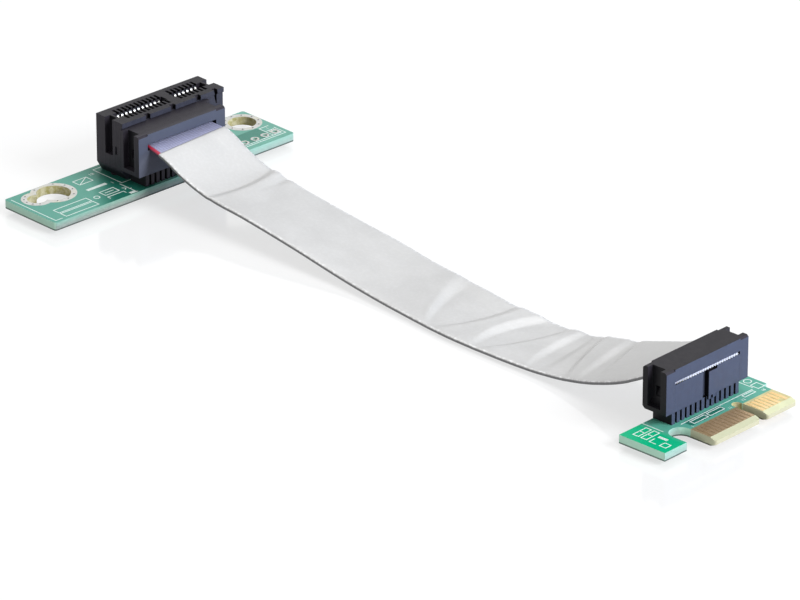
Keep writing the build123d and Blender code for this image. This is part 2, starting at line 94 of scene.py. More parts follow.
# Between these two places along Y, in mm of the whole part, the slot end's or the edge end's painted shade
# and sheen set in
SLOT_HALF, EDGE_HALF = (30.0, 50.0), (0.0, -20.0)
# Creases of the foil. Each pair of lines across it is given at its -X edge, middle and +X edge, as
# distances along the ribbon and widths of the slope there, then the rise between the lines. All in mm.
CREASES = [
    ((22.0, 23.1, 21.5), (1.4, 1.5, 1.7), (29.0, 26.5, 24.0), (10.0, 6.0, 2.2), (0.16, 0.48, 0.42)),
    ((26.4, 26.2, 25.9), (1.0, 1.0, 1.2), (29.5, 29.0, 28.0), (3.0, 3.0, 3.0), (0.0, 0.02, 0.18)),
    ((80.9, 76.0, 73.5), (1.6, 2.8, 6.0), (82.4, 86.4, 88.1), (1.3, 1.9, 2.0), (-0.01, -0.52, -0.38)),
    ((92.6, 91.3, 94.5), (1.4, 2.7, 3.0), (94.0, 98.2, 100.9), (1.3, 1.9, 2.0), (-0.01, -0.54, -0.38)),
    ((105.5, 103.5, 103.6), (1.4, 2.3, 2.3), (109.0, 108.0, 106.9), (2.2, 2.2, 2.0), (-0.01, -0.42, -0.26)),
    ((114.9, 111.5, 108.8), (1.0, 1.2, 1.3), (117.4, 116.3, 115.2), (2.0, 2.6, 2.6), (0.02, 0.50, 0.34)),
    ((121.8, 119.6, 117.4), (1.6, 1.3, 1.3), (131.0, 129.0, 126.5), (7.0, 7.0, 7.0), (0.02, 0.34, 0.26)),
]
# How far each edge of the ribbon lies above its plain route, and how far the whole has moved along X,
# as (distance, mm) points: it hangs with a slight roll and a slight bow.
NEAR_EDGE = [(22, 0), (32, 0.75), (45, 0.72), (62, 0.05), (101, 0.05), (119, -1.0), (128, -1.2),
             (132.5, -1.1), (136.2, -0.35), (138.6, 0)]
FAR_EDGE = [(4.5, 0), (8, 0.5), (16, 0.25), (21, 0.1), (29, 0.5), (45, 0.9), (55, 1.1), (66, 0.9), (79, 1.4),
            (90, 0.95), (100, 0.8), (112, 0.9), (127, 0.9), (136.2, 0.3), (138.6, 0)]
BOW = [(7, 0.25), (18, 0), (56, -0.05), (72, -0.8), (86, -1.55), (98, -1.2), (112, -0.35), (128, 0)]


# ---------- sizes and colours that a user may change


def colour(name, description, default):
    return bpy.props.FloatVectorProperty(name=name, description=description, subtype="COLOR", size=3,
                                         min=0, max=1, default=default)


def length(name, description, default):
    return bpy.props.FloatProperty(name=name, description=description, default=default, min=0,
                                   unit="LENGTH", precision=5)


def level(name, description, default):
    return bpy.props.FloatProperty(name=name, description=description, default=default, min=0)


class RiserCableSettings(bpy.types.PropertyGroup):
    """Sizes and colours of the ribbon and its sleeve."""
    conductors: bpy.props.IntProperty(name="Conductors", description="Wires side by side in the ribbon",
                                      default=26, min=2)
    width: length("Ribbon width", "Width across all the wires", 0.0162)
    thick: length("Ribbon thickness", "Over the insulation of one wire", 0.00055)
    sleeve_width: length("Sleeve width", "Outside width of the foil", 0.0165)
    sleeve_thick: length("Sleeve thickness", "Outside height of the foil tube", 0.00076)
    sleeve_start: length("Sleeve start", "Where the foil begins along the ribbon", 0.0076)
    sleeve_end: length("Sleeve end", "Where the foil ends along the ribbon", 0.1354)
    insulation: colour("Insulation", "Colour of the ribbon's insulation", (0.37, 0.38, 0.55))
    marked: colour("Marked wire", "Colour of the first wire", (0.55, 0.03, 0.07))
    foil: colour("Foil", "Colour of the sleeve", (0.562, 0.560, 0.555))


class RiserBoardSettings(bpy.types.PropertyGroup):
    """Colours and sizes of both circuit boards."""
    mask: colour("Solder mask", "Mask over copper", (0.165, 0.41, 0.325))
    # The deep mask colour is also used for painted shade beside the slot board's ribbon connector
    deep_mask_and_painted_shade: colour("Deep mask", "Mask over bare laminate", (0.010, 0.135, 0.095))
    laminate: colour("Laminate edge", "Cut edge of the glass laminate", (0.33, 0.39, 0.35))
    bare: colour("Bare laminate", "Laminate with no mask, between the fingers", (0.62, 0.55, 0.28))
    legend: colour("Legend", "White outlines on the boards", (0.80, 0.88, 0.84))
    legend_width: length("Legend width", "Width of a printed line", 0.00017)
    via: length("Via radius", "Radius of a plated through hole", 0.00028)
    gold: colour("Gold", "Plating of the edge fingers", (0.90, 0.64, 0.30))
    tin: colour("Tin", "Lands, pads and solder", (0.66, 0.66, 0.63))


class RiserConnectorSettings(bpy.types.PropertyGroup):
    """Colours of the moulded connectors and their contacts."""
    plastic: colour("Plastic", "Moulded housings", (0.027, 0.0235, 0.031))
    # The front sheen is a painted sheen: light painted onto the connectors' fronts
    sheen: colour("Front sheen", "Bloom on the moulded fronts", (0.066, 0.080, 0.132))
    contact: colour("Contacts", "Springs and terminals", (0.62, 0.61, 0.58))


class RiserStageSettings(bpy.types.PropertyGroup):
    """Light level and floor."""
    overhead: level("Overhead light", "Power of the overhead panel in watts", 4.0)
    key: level("Key light", "Power of the front panel in watts", 11.5)
    low: level("Low light", "Power of the low cool panel in watts", 7.0)
    west: level("Side light", "Power of the panel at the -X side in watts", 2.6)
    sky: level("Sky", "Level of the even light all round", 0.25)
    floor: colour("Floor", "Colour of the floor", (0.28, 0.28, 0.28))


# ---------- node helpers


class Wire:
    """An output socket on which plain arithmetic adds Math nodes."""

    def __init__(self, tree, socket):
        self.tree, self.socket = tree, socket

    def math(self, kind, *others, clamp=False):
        made = self.tree.nodes.new("ShaderNodeMath")
        made.operation, made.use_clamp = kind, clamp
        for slot, value in zip(made.inputs, (self, *others)):
            feed(self.tree, slot, value)
        return Wire(self.tree, made.outputs[0])

    def __add__(self, other):
        return self.math("ADD", other)

    def __sub__(self, other):
        return self.math("SUBTRACT", other)

    def __mul__(self, other):
        return self.math("MULTIPLY", other)

    def __truediv__(self, other):
        return self.math("DIVIDE", other)

    def size(self):
        return self.math("ABSOLUTE")

    def rise(self, start, end):
        """0 below start, 1 above end, straight between."""
        return ((self - start) / (end - start)).math("ADD", 0.0, clamp=True)

    def rest(self):
        """What is missing from 1."""
        return self * -1.0 + 1.0

    def within(self, low, high, soft=0.02):
        return self.rise(low - soft, low + soft) * self.rise(high - soft, high + soft).rest()


def feed(tree, slot, value):
    if isinstance(value, Wire):
        tree.links.new(value.socket, slot)
    else:
        slot.default_value = value


def plug(tree, made, **inputs):
    """Gives a node's inputs wires or plain values, by name."""
    for name, value in inputs.items():
        feed(tree, made.inputs[name.replace("_", " ")], value)


def node(tree, kind, out=0, settings=(), **inputs):
    """A new node with settings and inputs by name; returns one of its outputs."""
    made = tree.nodes.new(kind)
    for name, value in dict(settings).items():
        setattr(made, name, value)
    plug(tree, made, **inputs)
    return Wire(tree, made.outputs[out])


def split(vector):
    made = vector.tree.nodes.new("ShaderNodeSeparateXYZ")
    vector.tree.links.new(vector.socket, made.inputs[0])
    return [Wire(vector.tree, o) for o in made.outputs]


def join(x, y, z):
    return node(x.tree, "ShaderNodeCombineXYZ", X=x, Y=y, Z=z)


def scaled(vector, x, y, z):
    a, b, c = split(vector)
    return join(a * x, b * y, c * z)


def noise(vector, scale, detail=3.0, roughness=0.5):
    return node(vector.tree, "ShaderNodeTexNoise", Vector=vector, Scale=scale, Detail=detail,
                Roughness=roughness)


def mixed(factor, low, high):
    """A colour between two colours or wires."""
    tree = (factor if isinstance(factor, Wire) else low).tree
    made = tree.nodes.new("ShaderNodeMix")
    made.data_type = "RGBA"
    feed(tree, made.inputs[0], factor)
    for slot, value in ((made.inputs[6], low), (made.inputs[7], high)):
        feed(tree, slot, value if isinstance(value, Wire) else (*tuple(value)[:3], 1.0))
    return Wire(tree, made.outputs[2])


def raised(height, depth, **normal):
    """A bump normal; depth is the real height of a full step, in metres."""
    return node(height.tree, "ShaderNodeBump", Distance=depth, Height=height, **normal)


def finish(name, **sockets):
    """A new material, its tree and its shader, with plain values on the shader's own sockets."""
    made = bpy.data.materials.new(name)
    made.use_nodes = True
    tree = made.node_tree
    shader = tree.nodes["Principled BSDF"]
    plug(tree, shader, **sockets)
    return made, tree, shader


def object_point(tree):
    """Object coordinates in millimetres."""
    return scaled(node(tree, "ShaderNodeTexCoord", out=3), 1000, 1000, 1000)


def board_point(tree, origin, yaw):
    """Object coordinates in millimetres, counted from a board's own corner and turned with it."""
    corner = Matrix.Rotation(-yaw, 4, "Z") @ (origin * 1000)
    return node(tree, "ShaderNodeMapping", Scale=(1000, 1000, 1000), Rotation=(0, 0, -yaw), Location=-corner,
                Vector=node(tree, "ShaderNodeTexCoord", out=3))


def own_normal(tree):
    """The X, Y and Z of a face's normal, in the object's own axes."""
    return split(node(tree, "ShaderNodeTexCoord", out=1))


def tone(shade, times, lift=0.0):
    """A colour made darker or lighter."""
    return [min(1, value * times + lift) for value in shade]


def greatest(wires):
    total = wires[0]
    for wire in wires[1:]:
        total = total.math("MAXIMUM", wire)
    return total


def behind_everything(tree):
    """1 for rays that meet the background: from the camera, a reflection or a transmission."""
    kinds = ("Is Camera Ray", "Is Glossy Ray", "Is Transmission Ray")
    return greatest([node(tree, "ShaderNodeLightPath", out=kind) for kind in kinds])


# ---------- finishes


def laminate_edge(point, tint):
    """Colour of a cut laminate edge, with its glass layers and fibre ends."""
    x, y, z = split(point)
    layers = noise(join(x * 0.6, y * 0.6, z * 9.0), 1.0, 4.0, 0.7)
    fibres = noise(join(x * 7.0, y * 7.0, z * 3.0), 1.0, 2.0, 0.6)
    pale = mixed(layers.rise(0.35, 0.7), tone(tint, 0.72), tone(tint, 1.28))
    return mixed(fibres.rise(0.55, 0.8) * 0.35, pale, (0.92, 0.95, 0.88))


def hole_walls(point, holes):
    """1 on the wall of a drilled hole, 0 elsewhere."""
    x, y, _ = split(point)
    walls = []
    for hx, hy, r in holes:
        away = ((x - hx) * (x - hx) + (y - hy) * (y - hy)).math("SQRT")
        walls.append(away.within(r - 0.12, r + 0.06, 0.02))
    return greatest(walls)


def in_patches(point, patches):
    """1 inside any (x0, x1, y0, y1) patch, 0 elsewhere."""
    x, y, _ = split(point)
    return greatest([x.within(x0, x1, 0.05) * y.within(y0, y1, 0.05) for x0, x1, y0, y1 in patches])


def mask_layers(point, patches, paint_connector_shade):
    """The solder mask's colour, how deep it looks, and the copper lines that show through it; on the slot
    board also painted shade beside the ribbon connector.
    """
    s = bpy.context.scene.riser_board
    x, y, _ = split(point)
    deep = in_patches(point, patches)
    lines = ((x + y) * 1.15).math("FRACT").within(0.30, 0.52, 0.05) * deep
    cloud = noise(point, 0.35, 3.0, 0.55).rise(0.3, 0.75)
    mask = mixed(cloud * 0.28, s.mask, tone(s.mask, 1.4, 0.02))
    if paint_connector_shade:
        # Painted shade beside the slot board's ribbon connector: the mask is painted darker left of 24 mm,
        # and in the deep mask colour along a slanting band
        mask = mixed(x.rise(24.0, 18.0) * 0.75, mask, (0.10, 0.345, 0.27))
        painted_connector_shade = (x - y * 0.72).rise(9.6, 14.6) * x.rise(26.0, 24.0)
        deep = greatest([deep * 0.6, painted_connector_shade])
    specks = noise(point, 9.0, 2.0, 0.5).rise(0.68, 0.74)
    mask = mixed(specks * 0.2, mask, s.legend)
    mask = mixed(deep * 0.96, mask, s.deep_mask_and_painted_shade)
    return mixed(lines * 0.14, mask, s.mask), deep, lines


def tongue_layers(surface, edge, point, face, flat, deep):
    """The edge board's brighter mask and vivid tab, and its tongues of bare laminate."""
    s = bpy.context.scene.riser_board
    x, y, _ = split(point)
    surface = mixed(face * (deep * -0.9 + 1.0) * 0.5, surface, (0.03, 0.34, 0.24))
    vivid = x.rise(-4.6, -6.2) * face
    surface = mixed(vivid * 0.98, surface, (0.0, 0.43, 0.20))
    weave = ((x * 1.6).math("SINE") * (y * 1.6).math("SINE")).rise(-1, 1)
    cloud = noise(point, 0.35, 3.0, 0.55)
    bare = mixed(weave * 0.5 + cloud * 0.4, tone(s.bare, 0.8), tone(s.bare, 1.25))
    bare = mixed(x.rise(*TONGUE_FADE) * 0.95, bare, (0.26, 0.18, 0.10))
    tip = y.within(-2.0, 5.55, 0.03) * x.rise(-2.0, -1.6)
    surface = mixed(tip * face, surface, bare)
    cut = mixed(0.85, edge, (0.64, 0.57, 0.38))
    bevelled = mixed(flat.rise(0.15, 0.3), cut, (0.82, 0.73, 0.48))
    return mixed(tip * face.rest(), surface, bevelled)


def board_finish(name, origin, yaw, holes, patches, pale_end, tongues=False):
    """Solder mask on the faces, laminate on the cut edges, and bare laminate round the fingers."""
    s = bpy.context.scene.riser_board
    made, tree, shader = finish(name, Roughness=0.3, IOR=1.5, Specular_IOR_Level=0.1)
    point = board_point(tree, origin, yaw)
    x, y, z = split(point)
    east, _, up = own_normal(tree)
    flat, west = up.size(), (east * -1.0).rise(0.5, 0.9)
    face = flat.rise(0.9, 0.98)
    side = face.rest()
    mask, deep, lines = mask_layers(point, patches, paint_connector_shade=not tongues)
    edge = laminate_edge(point, s.laminate)
    edge = mixed(z.rise(0.6, 1.5) * 0.5, edge, (0.24, 0.62, 0.48))
    edge = mixed(x.rise(*pale_end) * 0.4, edge, (0.46, 0.72, 0.63))
    # Painted light: cut edges that look -X are painted a lighter green, standing in for light that reaches
    # them
    edge = mixed(west * (0.9 if tongues else 0.6), edge, (0.64, 1.0, 0.80))
    surface = mixed(face, edge, mask)
    wall = hole_walls(point, holes) * side
    olive = mixed(noise(point, 1.3, 4.0, 0.6).rise(0.35, 0.7), (0.42, 0.38, 0.14), (0.74, 0.70, 0.50))
    surface = mixed(wall, surface, olive)
    if tongues:
        surface = tongue_layers(surface, edge, point, face, flat, deep)
    # Painted shadow: the bottom of the cut edges is painted near black, a contact shadow under the board
    below = z.rise(0.34, 0.16) * side * wall.rest()
    surface = mixed(below * 0.85, surface, (0.03, 0.035, 0.033))
    peel = noise(point, 2.2, 2.0, 0.5) * 0.5 + noise(point, 14.0, 2.0, 0.5) * 0.2
    glass = ((x * 12.5).math("SINE") * (y * 12.5).math("SINE")) * 0.12
    plug(tree, shader, Base_Color=surface, Roughness=side * 0.35 + 0.27 + peel * 0.1,
         Normal=raised(peel + glass + lines * 0.8, 0.000018))
    return made


def tin_finish():
    """Levelled solder on lands, pads and joints: bright, slightly lumpy, dulled in places."""
    s = bpy.context.scene.riser_board
    made, tree, shader = finish("tinned_solder", Metallic=0.4, Roughness=0.3)
    point = object_point(tree)
    dull = noise(point, 1.6, 4.0, 0.6)
    stain = noise(point, 0.5, 2.0, 0.5)
    base = mixed(dull.rise(0.35, 0.7), s.tin, tone(s.tin, 0.82))
    base = mixed(stain.rise(0.52, 0.66) * 0.35, base, (0.72, 0.66, 0.44))
    lumps = noise(point, 1.1, 3.0, 0.55) + noise(point, 6.0, 2.0, 0.5) * 0.2
    plug(tree, shader, Base_Color=base, Roughness=dull * 0.3 + 0.18, Normal=raised(lumps, 0.00006))
    return made


def gold_finish():
    """Gold plate with insertion scratches along the fingers, browner on the first tongue."""
    s = bpy.context.scene.riser_board
    made, tree, shader = finish("gold_plate", Metallic=1.0, Roughness=0.25)
    point = board_point(tree, EDGE_ORIGIN, EDGE_YAW)
    x, y, z = split(point)
    scratch = noise(join(x * 14.0, y * 0.5, z), 1.0, 3.0, 0.6)
    wear = y.rise(3.2, 1.3) * noise(point, 1.5, 3.0, 0.5)
    first = x.rise(*TONGUE_FADE)
    base = mixed(scratch.rise(0.35, 0.75) * 0.45, s.gold, tone(s.gold, 0.78))
    base = mixed(wear * 0.5, base, (0.98, 0.84, 0.60))
    base = mixed(first * 0.85, base, (0.44, 0.29, 0.16))
    plug(tree, shader, Base_Color=base, Metallic=first * -0.45 + 1.0, Roughness=scratch * 0.25 + 0.16,
         Normal=raised(scratch, 0.00002))
    return made


def plastic_finish():
    """Black moulded nylon: fine spark-eroded grain, faint flow marks, softened edges, a painted sheen on the
    fronts, painted shade on faces that look -X, and painted shade and sheen on the tops.
    """
    s = bpy.context.scene.riser_connector
    made, tree, shader = finish("moulded_nylon", Roughness=0.42, IOR=1.5, Specular_IOR_Level=0.15)
    point = object_point(tree)
    x, y, z = split(point)
    east, north, up = own_normal(tree)
    front, west, top = (north * -1.0).rise(0.8, 0.95), (east * -1.0).rise(0.6, 0.9), up.rise(0.8, 0.95)
    slot_half, edge_half = y.rise(*SLOT_HALF), y.rise(*EDGE_HALF)
    flow = noise(join(x * 3.2, y * 3.2, z * 0.18), 1.0, 3.0, 0.6)
    cloud = noise(point, 0.8, 3.0, 0.5)
    grain = noise(point, 22.0, 2.0, 0.6)
    base = mixed(flow.rise(0.3, 0.7), tone(s.plastic, 0.8), tone(s.plastic, 1.35))
    base = mixed(grain.rise(0.62, 0.8) * 0.25, base, (0.06, 0.06, 0.07))
    # Painted sheen: the fronts of both ribbon connectors, and a little of the slot's rim, are painted a
    # lighter bluish colour that stands in for light from the front
    planes = y.within(-71.8, -68.2, 0.1) + y.within(64.4, 64.95, 0.05) + y.within(69.5, 70.3, 0.05) * 0.2
    painted_front_sheen = front * planes * (flow.rise(0.2, 0.8) * 0.10 + cloud.rise(0.3, 0.7) * 0.16 + 0.76)
    base = mixed(painted_front_sheen, base, s.sheen)
    # Painted light: below the ribbon, the slot board connector's front is painted lighter where the ribbon
    # shades it
    painted_light_under_ribbon = mixed(z.rise(9.4, 7.6), (0.080, 0.088, 0.122), (0.130, 0.140, 0.185))
    base = mixed(painted_front_sheen * slot_half * 0.8, base, painted_light_under_ribbon)
    # Painted shade: recesses and faces that look -X, on the edge connector and inside the slot board's
    # connectors, are painted near black, and the tops of the slot and of the edge connector are painted
    # darker; a painted sheen lightens the front of the slot board's ribbon connector's top
    painted_west_shade = edge_half * 0.92 + slot_half * x.rise(-8.1, -7.9) * 0.9
    base = mixed(west * painted_west_shade, base, (0.003, 0.003, 0.004))
    base = mixed(top * z.rise(12.6, 13.2) * 0.6, base, (0.006, 0.006, 0.007))
    base = mixed(top * y.rise(66.0, 64.0) * slot_half * 0.8, base, (0.055, 0.052, 0.066))
    base = mixed(top * edge_half * 0.8, base, (0.010, 0.009, 0.012))
    soft = node(tree, "ShaderNodeBevel", settings={"samples": 4}, Radius=0.00012)
    height = grain * 0.35 + flow * 0.15 + cloud * 0.6
    plug(tree, shader, Base_Color=base, Roughness=cloud * 0.16 + flow * 0.05 + 0.33,
         Normal=raised(height, 0.00002, Normal=soft))
    return made


def contact_finish():
    """Plated spring metal with faint drawing lines. In the slot the springs are painted near black as
    painted shade, and their tips lighter as a painted highlight.
    """
    s = bpy.context.scene.riser_connector
    made, tree, shader = finish("plated_contacts", Metallic=1.0, Roughness=0.3)
    x, y, z = split(object_point(tree))
    drawn = noise(join(x * 9.0, y * 9.0, z * 0.7), 1.0, 3.0, 0.6)
    base = mixed(drawn.rise(0.3, 0.75), s.contact, tone(s.contact, 0.8))
    # Painted shade and highlight: slot contacts are painted near black below a lighter band at their tips
    spring = mixed(z.within(12.98, 13.28, 0.04), (0.055, 0.055, 0.058), (0.88, 0.87, 0.84))
    base = mixed(y.rise(60.0, 62.0), base, spring)
    plug(tree, shader, Base_Color=base, Roughness=drawn * 0.25 + 0.14, Normal=raised(drawn, 0.00001))
    return made


def legend_finish():
    """Screen-printed white ink, thin in places."""
    s = bpy.context.scene.riser_board
    made, tree, shader = finish("white_legend", Roughness=0.55)
    thin = noise(object_point(tree), 5.5, 3.0, 0.65)
    worn = [(ink + mask) * 0.5 for ink, mask in zip(s.legend, s.mask)]
    base = mixed(thin.rise(0.52, 0.68) * 0.55, s.legend, worn)
    plug(tree, shader, Base_Color=base, Normal=raised(thin, 0.00001))
    return made


def ribbon_finish():
    """Flexible insulation: a marked first wire, shaded valleys between the wires, a satin skin."""
    s = bpy.context.scene.riser_cable
    made, tree, shader = finish("ribbon_insulation", Roughness=0.42, IOR=1.5)
    u, mm, _ = split(node(tree, "ShaderNodeTexCoord", out=2))
    wires = u * s.conductors
    valley = wires.math("FRACT").math("SUBTRACT", 0.5).size().rise(0.30, 0.5)
    first = u.rise(1.15 / s.conductors, 1.0 / s.conductors)
    streak = noise(join(wires * 1.7, mm * 0.12, 0.0), 1.0, 3.0, 0.5)
    base = mixed(streak.rise(0.3, 0.75) * 0.4, s.insulation, tone(s.insulation, 1.25))
    base = mixed(first, base, s.marked)
    base = mixed(valley * 0.32, base, tone(s.insulation, 0.35))
    cut = (own_normal(tree)[1] * -1.0).rise(0.9, 0.97)
    base = mixed(cut * (valley * -0.6 + 1.0), base, (0.64, 0.67, 0.80))
    plug(tree, shader, Base_Color=base, Roughness=streak * 0.2 + 0.30, Normal=raised(streak, 0.00002))
    return made


def foil_finish():
    """Aluminium tape: satin, with fine handling wrinkles, bright specks thickest at the rims, painted shade
    near both ends and dark painted shade on the side walls.
    """
    s = bpy.context.scene.riser_cable
    made, tree, shader = finish("foil_tape", Metallic=0.3, Roughness=0.36)
    u, mm, _ = split(node(tree, "ShaderNodeTexCoord", out=2))
    place = join(u * 16.5, mm, 0.0)
    broad = noise(scaled(place, 0.22, 0.14, 1.0), 1.0, 2.0, 0.5)
    fine = noise(scaled(place, 1.0, 0.8, 1.0), 1.6, 4.0, 0.6)
    cells = node(tree, "ShaderNodeTexVoronoi", Vector=scaled(place, 0.16, 0.11, 1.0), Scale=1.0,
                 settings={"feature": "SMOOTH_F1"})
    base = mixed(broad.rise(0.3, 0.7), tone(s.foil, 0.96), tone(s.foil, 1.03))
    # Painted shade: the foil is painted darker near both ends, where it slopes up to the connectors
    painted_shade_near_ends = mm.rise(40.0, 18.0) + mm.rise(112.0, 134.0) * 1.4
    base = mixed(painted_shade_near_ends, base, tone(s.foil, 0.94))
    rim = (u - 0.5).size().rise(0.466, 0.486)
    base = mixed(fine.rise(0.46, 0.66) * (rim * 0.75 + 0.08), base, (0.90, 0.90, 0.91))
    # Painted shade: the foil's side walls are painted dark and less metallic
    up = own_normal(tree)[2]
    wall = up.rise(0.45, 0.15) * up.rise(-0.8, -0.5)
    base = mixed(wall * 0.85, base, (0.10, 0.10, 0.105))
    plug(tree, shader, Base_Color=base, Metallic=wall * -0.3 + 0.3,
         Roughness=fine * 0.16 + broad * 0.14 + 0.24, Normal=raised(cells + broad + fine * 0.06, 0.00010))
    return made


# ---------- mesh helpers


def add_mesh(name, mesh):
    made = bpy.data.objects.new(name, mesh)
    bpy.context.scene.collection.objects.link(made)
    return made


def mesh_of(name, points, faces):
    mesh = bpy.data.meshes.new(name)
    mesh.from_pydata(points, [], faces)
    mesh.validate()
    mesh.update()
    return mesh


def outward(mesh):
    work = bmesh.new()
    work.from_mesh(mesh)
    bmesh.ops.recalc_face_normals(work, faces=work.faces)
    work.to_mesh(mesh)
    work.free()
    return mesh


def slot_place(x, y, z):
    """A point in the slot board's millimetres as a point of the whole part, in metres."""
    return SLOT_ORIGIN + Vector((x, y, z)) * MM


def edge_place(x, y, z):
    """The same for the edge board, which lies turned a little."""
    return EDGE_ORIGIN + Matrix.Rotation(EDGE_YAW, 3, "Z") @ (Vector((x, y, z)) * MM)


def coat(piece, material):
    piece.data.materials.clear()
    piece.data.materials.append(material)


def settle(piece, material):
    """Gives a finished piece its material, and lets it ride with the part."""
    coat(piece, material)
    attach(piece, "root")
    return piece


def dress(material, *names):
    """New material on CAD nodes."""
    for name in names:
        coat(frame["nodes"][name], material)


def read_curve(curve):
    """Points and faces of a curve, which is then removed."""
    holder = add_mesh("curve", curve)
    mesh = bpy.data.meshes.new_from_object(holder)
    points = [v.co.copy() for v in mesh.vertices]
    faces = [tuple(f.vertices) for f in mesh.polygons]
    bpy.data.objects.remove(holder)
    bpy.data.curves.remove(curve)
    bpy.data.meshes.remove(mesh)
    return points, faces


# ---------- the ribbon and its sleeve


def heading():
    return (FAR_MIDDLE - EXIT).normalized()


def centreline():
    """Points along the ribbon's middle, read from a NURBS spline through the route."""
    curve = bpy.data.curves.new("route", "CURVE")
    curve.dimensions = "3D"
    curve.resolution_u = 40
    spline = curve.splines.new("NURBS")
    route = [EXIT + heading() * s + Vector((0, 0, z)) for s, z in ROUTE]
    spline.points.add(len(route) - 1)
    for point, place in zip(spline.points, route):
        point.co = (*place, 1.0)
    spline.order_u = 3
    spline.use_endpoint_u = True
    return read_curve(curve)[0]


def step(value, middle, width):
    """0 before a slope, 1 after it, and a smooth rise between."""
    t = min(1.0, max(0.0, (value - middle) / width + 0.5))
    return t * t * (3 - 2 * t)


def at_three(values, u):
    """Value between three given at -1, 0 and 1."""
    low, middle, high = values
    return middle + (high - low) / 2 * u + ((low + high) / 2 - middle) * u * u


def value_at(points, mm):
    """Value at a distance along the ribbon, on a smooth line through (distance, value) points."""
    if mm <= points[0][0] or mm >= points[-1][0]:
        return points[0][1] if mm <= points[0][0] else points[-1][1]
    i = max(k for k, (at, _) in enumerate(points) if at <= mm)
    (a, low), (b, high) = points[i], points[i + 1]
    slopes = []
    for k in (i, i + 1):
        before, after = points[max(k - 1, 0)], points[min(k + 1, len(points) - 1)]
        ends = k in (0, len(points) - 1)
        slopes.append(0.0 if ends else (after[1] - before[1]) / (after[0] - before[0]) * (b - a))
    t = (mm - a) / (b - a)
    return ((2 * t ** 3 - 3 * t * t + 1) * low + (t ** 3 - 2 * t * t + t) * slopes[0]
            + (3 * t * t - 2 * t ** 3) * high + (t ** 3 - t * t) * slopes[1])


class Strip:
    """The ribbon's middle surface: places by distance along it, across it and above it."""

    def __init__(self):
        self.line = centreline()
        self.at = [0.0]
        for a, b in zip(self.line, self.line[1:]):
            self.at.append(self.at[-1] + (b - a).length)
        self.total = self.at[-1]
        self.side = Vector((-heading().y, heading().x, 0))

    def spot(self, s):
        """Point and direction at a distance along the middle line."""
        s = min(max(s, 0.0), self.total)
        high = min(bisect_right(self.at, s), len(self.at) - 1)
        low = high - 1
        t = (s - self.at[low]) / max(self.at[high] - self.at[low], 1e-9)
        point = self.line[low].lerp(self.line[high], t)
        ahead = self.line[min(high + 3, len(self.line) - 1)] - self.line[max(low - 3, 0)]
        return point, ahead.normalized()

    def lie(self, s, u):
        """Height of the creased, slightly uneven surface above the smooth one."""
        mm, height = s * 1000, 0.0
        for first, first_width, second, second_width, rises in CREASES:
            up = step(mm, at_three(first, u), at_three(first_width, u))
            height += at_three(rises, u) * (up - step(mm, at_three(second, u), at_three(second_width, u)))
        height += value_at(NEAR_EDGE, mm) * (1 - u) / 2 + value_at(FAR_EDGE, mm) * (1 + u) / 2
        return height * MM

    def place(self, s, u, up, half):
        """Point at a distance along it, a share of its half width across it and a height above it."""
        point, ahead = self.spot(s)
        normal = ahead.cross(self.side).normalized()
        if normal.z < 0:
            normal = -normal
        side = self.side * (u * half + value_at(BOW, s * 1000) * MM)
        return point + side + normal * (up + self.lie(s, u))


def cut_flush(mesh, point, away):
    """Cuts a mesh at a plane, drops what lies beyond it and closes the cut."""
    work = bmesh.new()
    work.from_mesh(mesh)
    geometry = work.verts[:] + work.edges[:] + work.faces[:]
    result = bmesh.ops.bisect_plane(work, geom=geometry, plane_co=point, plane_no=away,
                                    clear_outer=True, dist=1e-7)
    edges = [g for g in result["geom_cut"] if isinstance(g, bmesh.types.BMEdge)]
    bmesh.ops.contextual_create(work, geom=edges)
    work.to_mesh(mesh)
    work.free()


def tube(name, ring, at, rings, cuts=()):
    """A closed tube with smooth walls and flat ends, cut at planes given as a point and a way out.
    Its UV map has the share across it and the millimetres along it."""
    count = len(ring)
    points = [point for places in rings for point in places]
    faces = []
    for i in range(len(rings) - 1):
        for j in range(count):
            k = (j + 1) % count
            faces.append((i * count + j, i * count + k, (i + 1) * count + k, (i + 1) * count + j))
    faces += [tuple(reversed(range(count))), tuple(range(len(points) - count, len(points)))]
    mesh = mesh_of(name, points, faces)
    sheet = mesh.uv_layers.new(name="UVMap")
    for loop in mesh.loops:
        i, j = divmod(loop.vertex_index, count)
        sheet.data[loop.index].uv = ((ring[j][0] + 1) / 2, at[i] * 1000)
    for point, away in cuts:
        cut_flush(mesh, point, away)
    outward(mesh)
    for face in mesh.polygons:
        face.use_smooth = len(face.vertices) == 4
    return add_mesh(name, mesh)


def ribbon_piece(strip):
    """The ribbon, with a round back over each wire, cut flush with both connectors' outer faces."""
    s = bpy.context.scene.riser_cable
    half, tall = s.width / 2, s.thick / 2
    last = s.conductors * WIRE_SPOTS
    spots = []
    for i in range(last + 1):
        swell = 0.70 + 0.30 * math.cos(2 * math.pi * (i / WIRE_SPOTS - 0.5))
        if i in (0, last):
            swell = 0.35
        spots.append((-1 + 2 * i / last, tall * swell))
    ring = spots + [(u, -h) for u, h in reversed(spots)]
    at = [strip.total * i / RIBBON_STEPS for i in range(RIBBON_STEPS + 1)]
    rings = [[strip.place(a, u, h, half) for u, h in ring] for a in at]
    front = Matrix.Rotation(EDGE_YAW, 3, "Z") @ Vector((0, -1, 0))
    cuts = [(slot_place(0, CONNECTOR_A[1] + CONNECTOR_DEPTH - SHY, 0), Vector((0, 1, 0))),
            (edge_place(0, CONNECTOR_B[1] + SHY, 0), front)]
    return tube("cable_ribbon", ring, at, rings, cuts)


